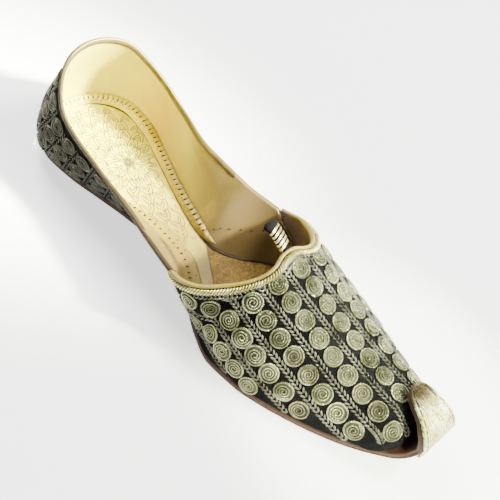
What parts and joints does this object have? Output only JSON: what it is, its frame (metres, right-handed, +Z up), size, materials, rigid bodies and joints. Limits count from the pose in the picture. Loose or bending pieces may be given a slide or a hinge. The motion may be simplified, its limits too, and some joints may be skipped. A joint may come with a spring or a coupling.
{
  "type": "mojari slip-on shoe",
  "caption": "Flat leather slip-on shoe with a velvet upper worked in coiled metal thread, an M-shaped throat with a small tab and a gilt-faced toe that curls back over the vamp.",
  "frame": {"origin": "on the flat of the sole, under the middle of the bounding box", "axes": "-Y towards the toe, +Z up, -X the outer (little toe) side, +X the inner side"},
  "size_m": [0.0928, 0.279, 0.0619],
  "materials": {
    "sole_leather": "oiled, cut edges",
    "insole_leather": "rough, unfinished",
    "sock_leather": "smooth, embossed and foil printed",
    "velvet": "black pile with metal-thread embroidery",
    "gilt_leather": "pale gold metallic, ribbed",
    "gold_cord": "twisted metal thread",
    "gold_wire": "wound flat wire over dark leather"
  },
  "bodies": {
    "root": {"outsole": "sole_leather", "insole": "insole_leather", "sock": "sock_leather", "upper": "velvet", "toe_cover": "gilt_leather", "throat_cord": "gold_cord", "throat_tab": "gold_wire"}
  },
  "joints": []
}
